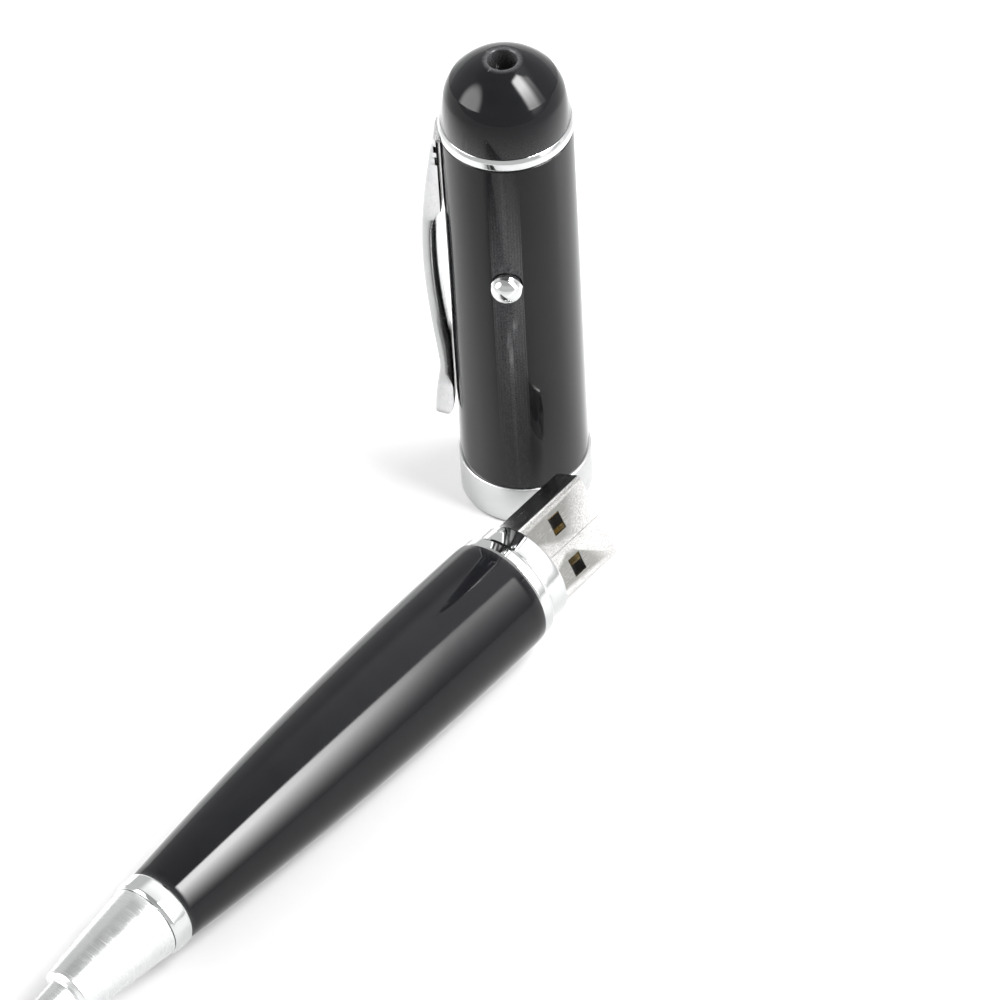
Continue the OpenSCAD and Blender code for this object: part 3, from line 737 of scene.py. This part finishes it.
def clip_in(z):
    """Stand-off of its inner face: a solid root and a thick heel with a round toe."""
    free = max(CLIP_GAP, clip_out(z) - CLIP_T)
    root = ease((z - CLIP_ROOT) / CLIP_ROOT_BLEND)
    solid = max(root, ease((CLIP_HEEL + CLIP_HEEL_BLEND - z) / CLIP_HEEL_BLEND))
    v = min(1.0, max(0.0, (CLIP_TOE - z) / (CLIP_TOE - CLIP_LOW)))
    toe = (clip_out(CLIP_LOW) - CLIP_TOE_T - CLIP_GAP) * (1 - math.sqrt(1 - v * v))
    return free + (CLIP_GAP - free) * solid + toe


def clip_half_width(z):
    """Half width across the strip: a little narrower towards its round tip."""
    along = (z - CLIP_LOW) / (CLIP_HIGH - CLIP_LOW)
    half = CLIP_W / 2 * (CLIP_NARROW + (1 - CLIP_NARROW) * min(1, along / 0.8))
    tip = CLIP_W / 2 * CLIP_NARROW
    if z < CLIP_LOW + tip:
        short = 1 - (z - CLIP_LOW) / tip
        half = min(half, tip * math.sqrt(max(0.0, 1 - short * short)))
    return half


def clip_section(z):
    """Points round the strip at one height: a shallow outer face between bevels, sides
    that lean in, and an inner side rounded like half an ellipse."""
    out, inside, half = clip_out(z), clip_in(z), clip_half_width(z)
    top = CLIP_HIGH - 0.1
    if z > CLIP_FOOT - 0.6:
        k = (z - CLIP_FOOT + 0.6) / (top - CLIP_FOOT + 0.6)
        out = out * math.cos(k * math.pi / 2 * 0.72)
    if z < CLIP_LOW + CLIP_TIP_ROUND:
        short = (CLIP_LOW + CLIP_TIP_ROUND - z) / CLIP_TIP_ROUND
        out -= 0.4 * (1 - math.sqrt(1 - short * short))
    thick = max(out - inside, 0.1)
    bevel = min(0.35, half * 0.3, thick * 0.25)
    # the inner side is flat at the tip and the root, and rounds off most at the heel
    round_part = ease((z - 17.5) / 4.5) * (1 - ease((z - 44.5) / 3))
    heel = 1 - ease((z - CLIP_HEEL) / 8)
    belly = min(0.12 + (0.68 + 0.9 * heel) * round_part, thick * 0.62)
    lean = CLIP_DRAFT * (thick - belly)
    face = half - lean
    right = [(0, out - 0.06), (face * 0.5, out - 0.045), (face - bevel, out)]
    right += [(face - bevel * 0.4, out - bevel * 0.15), (face, out - bevel)]
    for k in range(9):
        a = math.pi / 2 * k / 8
        right.append((half * 0.4 + half * 0.6 * math.cos(a), inside + belly * (1 - math.sin(a))))
    left = [(-y, x) for y, x in right[:0:-1]]
    return [(CAP_R + x, y, z) for y, x in right + left]


CLIP_NOTCHES = ((58.2, 1.0, 0.42), (56.3, 1.3, 0.34))  # height, how tall, how deep
CLIP_NOTCH_W = 3.2
CLIP_PLATE_T = 0.6


def make_clip():
    """Bowed strip with two notches on each side of its root, and its foot plate."""
    rows = 150
    low, high = CLIP_LOW + 0.05, CLIP_HIGH - 0.1
    sections = []
    for i in range(rows + 1):
        u = i / rows
        sections.append(clip_section(low + (high - low) * (0.35 * u * u + 0.65 * u)))
    count = len(sections[0])
    verts = [p for s in sections for p in s]
    faces = []
    for i in range(rows):
        for k in range(count):
            n = (k + 1) % count
            faces.append((i * count + k, i * count + n, (i + 1) * count + n, (i + 1) * count + k))
    faces.append(tuple(range(count))[::-1])
    faces.append(tuple(range(rows * count, (rows + 1) * count)))
    strip = clean(mesh_piece("clip_strip", verts, faces, CLIP), 40)
    notches = []
    for z, tall, deep in CLIP_NOTCHES:
        for side in (-1, 1):
            size = (deep, CLIP_NOTCH_W, tall)
            place = (CAP_R + CLIP_GAP + deep / 2 + 0.05, side * CLIP_W / 2, z)
            notches.append(box_mesh("notch_cutter", size, place, CLIP))
    cut(strip, *notches)
    clean(strip, 40)
    foot_mid = CLIP_FOOT + 0.475
    foot_in, foot_long = INSERT_R + 0.5, 1.9
    size = (foot_long, CLIP_W - 0.6, CLIP_PLATE_T)
    plate = box_mesh("clip_foot", size, (foot_in + foot_long / 2, 0, foot_mid), CLIP)
    bevelled(clean(plate), 0.1)
    dress(strip, "polished_chrome", "clip", "clip", finish="clip_chrome")
    dress(plate, "polished_chrome", "clip", finish="clip_chrome")


# ---------- barrel ----------


def bow(z):
    """Radius of the barrel at z along its own axis."""
    return BARREL_R - BOW_R + math.sqrt(BOW_R**2 - (z + BELLY_AT) ** 2)


def bowed_line(start, end, rows, inwards=0.0):
    """Points of the barrel's bow from start to end, set inwards by a wall."""
    heights = (start + (end - start) * i / rows for i in range(rows + 1))
    return [(bow(z) - inwards, z) for z in heights]


def make_barrel():
    """Bowed lacquered tube with soft end edges, its electronics bay and its front bore."""
    end = -BARREL_LEN
    waist_end = end + FRONT_BORE_LEN
    skin = bowed_line(-0.15, end + 0.15, 48)
    waist = bowed_line(-BAY_LEN, waist_end, 8, WAIST_WALL)
    outline = [(BAY_R, 0), (bow(0) - 0.13, 0), (bow(0) - 0.04, -0.04)] + skin
    outline += [(bow(end) - 0.04, end + 0.04), (bow(end) - 0.13, end)]
    outline += [(FRONT_BORE_R, end), (FRONT_BORE_R, waist_end)]
    outline += waist[::-1] + [(BAY_R, -BAY_LEN)]
    tube = turned_mesh("barrel_lacquer", outline, BARREL, 192)
    dress(tube, "black_lacquer", "barrel", "barrel_tube")


STEP_R, STEP_LEN = 7.4, 2.2
NECK_R = 6.65


def make_step_ring():
    """Polished ring between the lacquered tube and the neck."""
    outline = fillet([
        (BAY_R, 0, 0.05), (STEP_R - 0.12, 0, 0.1), (STEP_R, 0.35, 0.2),
        (STEP_R, STEP_LEN - 0.7, 0.35), (STEP_R - 0.45, STEP_LEN, 0.15), (BAY_R, STEP_LEN, 0.05),
    ], 6)
    dress(turned_mesh("step_chrome", outline, BARREL), "polished_chrome", "barrel", "step_ring")


def plug_outline(grow, steps=6):
    """The rounded rectangle of the USB shell, grown by grow."""
    r = PLUG_ROUND + grow
    points = []
    for cx, cy, start in ((1, 1, 0), (-1, 1, 90), (-1, -1, 180), (1, -1, 270)):
        for k in range(steps + 1):
            a = math.radians(start + 90 * k / steps)
            x = cx * (PLUG_W / 2 - PLUG_ROUND) + r * math.cos(a)
            y = cy * (PLUG_T / 2 - PLUG_ROUND) + r * math.sin(a)
            points.append((x, y))
    return points


def make_neck():
    """Polished neck that the cap grips, with the plug's opening through it."""
    low, inner_r = -4, BAY_R - 0.05
    outline = fillet([
        (0, low, 0), (inner_r, low, 0.15), (inner_r, STEP_LEN, 0.05), (NECK_R, STEP_LEN, 0.05),
        (NECK_R, NECK_TOP, 0.35), (0, NECK_TOP, 0),
    ], 6)
    body = turned_mesh("neck_chrome", outline, PLUG)
    cut(body, extruded("plug_cutter", plug_outline(0.05), -6, NECK_TOP + 2, PLUG))
    clean(body, 30)
    dress(body, "polished_chrome", "barrel", "neck")


LATCH_W, LATCH_L, LATCH_X = 2.5, 2.0, 3.1
LATCH_IN = 5.16  # from the plug's mouth to its latch holes
SEAM_W = 0.07


def make_plug():
    """Folded sheet shell: latch holes on both faces and a seam under the contacts."""
    base = PLUG_TOP - PLUG_LEN
    outer, inner = plug_outline(0), plug_outline(-PLUG_WALL)
    count = len(outer)
    lip = 0.1
    rings = [(outer, base), (outer, PLUG_TOP - lip), (plug_outline(-0.05), PLUG_TOP)]
    rings += [(plug_outline(-PLUG_WALL + 0.05), PLUG_TOP), (inner, PLUG_TOP - lip), (inner, base)]
    verts = [(x, y, z) for ring, z in rings for x, y in ring]
    faces = []
    for i in range(len(rings)):
        j = (i + 1) % len(rings)
        for k in range(count):
            n = (k + 1) % count
            faces.append((i * count + k, i * count + n, j * count + n, j * count + k))
    shell = clean(mesh_piece("plug_shell", verts, faces, PLUG))
    hole_z = PLUG_TOP - LATCH_IN - LATCH_L / 2
    cutters = []
    for x in (-LATCH_X, LATCH_X):
        size = (LATCH_W, PLUG_T + 2, LATCH_L)
        cutters.append(box_mesh("latch_cutter", size, (x, 0, hole_z), PLUG))
    size = (SEAM_W, 0.5, PLUG_LEN + 2)
    cutters.append(box_mesh("seam_cutter", size, (0, -PLUG_T / 2, PLUG_TOP - 9), PLUG))
    cut(shell, *cutters)
    clean(shell, 30)
    dress(shell, "plug_steel", "barrel", "usb_shell")


# ---------- writing end ----------


NOSE_RING_R, NOSE_BORE_R = 5.15, 3.7
NOSE_SPIGOT = 6.5


def make_nose_ring():
    """Polished ring at the front of the barrel, with the thread that screws into it."""
    spigot_r = FRONT_BORE_R - 0.05
    low, high = -NOSE_AT + 0.05, -BARREL_LEN
    end = high + NOSE_SPIGOT
    outline = fillet([
        (NOSE_BORE_R, low, 0.05), (NOSE_RING_R - 0.25, low, 0.1), (NOSE_RING_R, low + 0.4, 0.3),
        (NOSE_RING_R, high - 0.35, 0.3), (NOSE_RING_R - 0.2, high, 0.1), (spigot_r, high, 0),
    ], 6)
    outline += steps_between(spigot_r, high, end)
    outline += [(spigot_r, end), (NOSE_BORE_R, end)]
    wave = thread_wave(spigot_r, high + 0.6, end - 0.1)
    ring = turned_mesh("nose_chrome", outline, BARREL, wave=wave)
    dress(ring, "polished_chrome", "front", "nose_ring")


def make_nose_cone():
    """The taper that twists, its shoulder and the tip's round channel."""
    taper = [
        (3.9, -NOSE_AT, 0.05), (4.85, -NOSE_AT, 0.12), (4.72, -NOSE_AT - 1.2, 0),
        (3.33, -CONE_END + 0.35, 0.3), (2.75, -CONE_END - 0.05, 0.2), (2.35, -CONE_END - 0.15, 0.25),
        (2.28, -CONE_END - 0.8, 0.3), (1.86, -TIP_END + 0.35, 0.15), (1.7, -TIP_END, 0.12),
        (TIP_BORE_R, -TIP_END, 0.05), (TIP_BORE_R, -CONE_END, 0), (1.7, -CONE_END + 0.4, 0),
        (1.7, -NOSE_AT - 8.5, 0.1), (3.9, -NOSE_AT - 8, 0.1),
    ]
    cone = turned_mesh("nose_taper", fillet(taper, 6), BARREL)
    dress(cone, "satin_nose", "nose", "nose_cone")


# ---------- stage ----------

FLOOR_TONE = 0.33
FLOOR_SIZE = 4.0
FLOOR_DROP = 0.00002


def make_floor():
    """Plain pale floor, just under what stands on it."""
    corners = [(x * FLOOR_SIZE, y * FLOOR_SIZE, 0) for x, y in ((-1, -1), (1, -1), (1, 1), (-1, 1))]
    data = bpy.data.meshes.new("floor")
    data.from_pydata(corners, [], [(0, 1, 2, 3)])
    floor = bpy.data.objects.new("floor", data)
    floor.location.z = -FLOOR_DROP
    bpy.context.scene.collection.objects.link(floor)
    m = bpy.data.materials.new("pale_floor")
    m.use_nodes = True
    t = Tree(m.node_tree)
    place = t.node("ShaderNodeTexCoord").outputs["Object"]
    fibre = t.noise(place, 300, 4)
    shade = t.mix(fibre, colour((FLOOR_TONE,) * 3, 0.985), colour((FLOOR_TONE,) * 3))
    shader = t.node("ShaderNodeBsdfPrincipled", {"Base Color": shade, "Roughness": 0.9})
    shader.inputs["Specular IOR Level"].default_value = 0.1
    out = t.node("ShaderNodeOutputMaterial")
    t.tree.links.new(shader.outputs[0], out.inputs[0])
    data.materials.append(m)


# radiance of the sky's parts
SKY = 0.75
LONG_BOX = 7.0
SIDE_BOX = 10.0
SIDE_BOX_AT = Vector((-0.52, -0.71, 0.47))


def make_studio():
    """A pale light tent with one long softbox over the +X side, a smaller one across
    from it, and two lamps that lift the floor on both sides of the cap."""
    world = bpy.data.worlds.new("studio")
    bpy.context.scene.world = world
    world.use_nodes = True
    t = Tree(world.node_tree)
    way = t.node("ShaderNodeTexCoord").outputs["Generated"]
    parts = t.node("ShaderNodeSeparateXYZ", {0: way})
    x, y, z = parts.outputs
    # the long softbox spans an angle about the Y axis and has a crisp upper edge
    lean = t.math("ARCTAN2", x, z)
    deg = math.radians
    start = t.mapped(y, 0.32, 0.52, deg(17), deg(25))
    edge = t.mapped(t.math("SUBTRACT", lean, start), 0, deg(5), 0, 1, smooth=True)
    fall = t.mapped(lean, deg(33), deg(95), 1, 0)
    fall = t.math("POWER", fall, 2.0)
    near = t.mapped(y, -0.03, 0.1, 0, 1, smooth=True)
    slope = t.mapped(y, 0.3, 0.45, 6, 1)
    far = t.mapped(y, 0.52, 0.62, 1, 0, smooth=True)
    box = t.math("MULTIPLY", t.math("MULTIPLY", edge, fall), t.math("MULTIPLY", near, slope))
    box = t.math("MULTIPLY", t.math("MULTIPLY", box, far), LONG_BOX)
    # the smaller softbox
    facing = t.dot(way, SIDE_BOX_AT.normalized())
    outer, inner = math.cos(deg(24)), math.cos(deg(12))
    side = t.mapped(facing, outer, inner, 0, SIDE_BOX, smooth=True)
    # the tent is darker overhead towards the nose and brighter towards the cap
    tent = t.mapped(y, 0.22, 0.5, 0.5, 1.8, smooth=True)
    overhead = t.mapped(z, 0.55, 0.8, 0, 1, smooth=True)
    tent = t.math("ADD", t.math("MULTIPLY", t.math("SUBTRACT", tent, SKY), overhead), SKY)
    light = t.math("ADD", t.math("ADD", tent, box), side)
    back = t.node("ShaderNodeBackground", {"Color": (1, 1, 1, 1), "Strength": light})
    out = t.node("ShaderNodeOutputWorld")
    t.tree.links.new(back.outputs[0], out.inputs[0])
    bpy.context.scene.view_settings.view_transform = "Standard"
    make_lamp("right_lamp", (0.075, 0.10, 0.11), (0.035, 0.05, 0), 0.36)
    make_lamp("left_lamp", (-0.105, -0.035, 0.11), (-0.05, -0.015, 0), 0.4)


LAMP_SIZE = 0.08


def make_lamp(name, at, aim, watts):
    """A round area lamp at one place, aimed at another."""
    data = bpy.data.lights.new(name, "AREA")
    data.shape = "DISK"
    data.size = LAMP_SIZE
    data.energy = watts
    lamp = bpy.data.objects.new(name, data)
    lamp.visible_glossy = False
    lamp.location = at
    lamp.rotation_euler = (Vector(aim) - Vector(at)).to_track_quat("-Z", "Y").to_euler()
    bpy.context.scene.collection.objects.link(lamp)


# ---------- build ----------


def dress_cad_nodes():
    """Every CAD node that still shows gets its slot's procedural material."""
    slots = {s["node"]: s["material_slot"] for s in frame["record"]["subparts"]}
    for name, node in frame["nodes"].items():
        node.data.materials.clear()
        node.data.materials.append(materials[slots[name]])


make_camera()
dress_cad_nodes()
make_cap_tube()
make_collar()
make_trim_ring()
make_crown()
make_button()
make_clip()
make_barrel()
make_step_ring()
make_neck()
make_plug()
make_nose_ring()
make_nose_cone()
make_floor()
make_studio()
